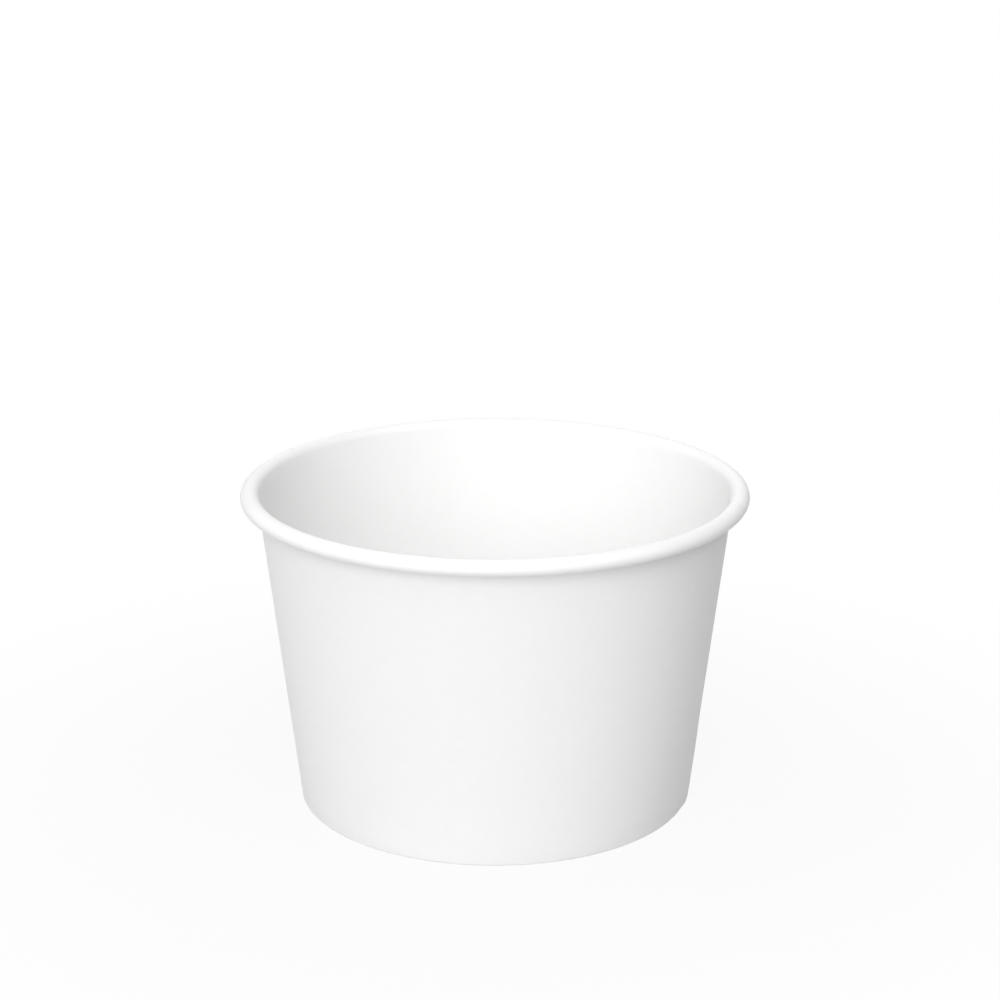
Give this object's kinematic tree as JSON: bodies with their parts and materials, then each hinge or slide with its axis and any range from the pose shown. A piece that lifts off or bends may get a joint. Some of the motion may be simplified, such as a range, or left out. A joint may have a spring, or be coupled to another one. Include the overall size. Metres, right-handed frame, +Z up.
{
  "type": "paper sundae cup",
  "caption": "Tapered round paperboard cup with a rolled rim, a lapped side seam and a recessed bottom disc held in a folded hem.",
  "frame": {"origin": "centre of the foot, on the surface that the cup stands on", "axes": "+Z up along the cup's axis, out of its mouth; +X and +Y level, with the side seam's inner cut edge 14.5 degrees from +X towards -Y"},
  "size_m": [0.095, 0.095, 0.061],
  "materials": {
    "wall_board": "satin",
    "disc_board": "satin"
  },
  "bodies": {
    "root": {"side_wall": "wall_board", "bottom_disc": "disc_board"}
  },
  "joints": []
}
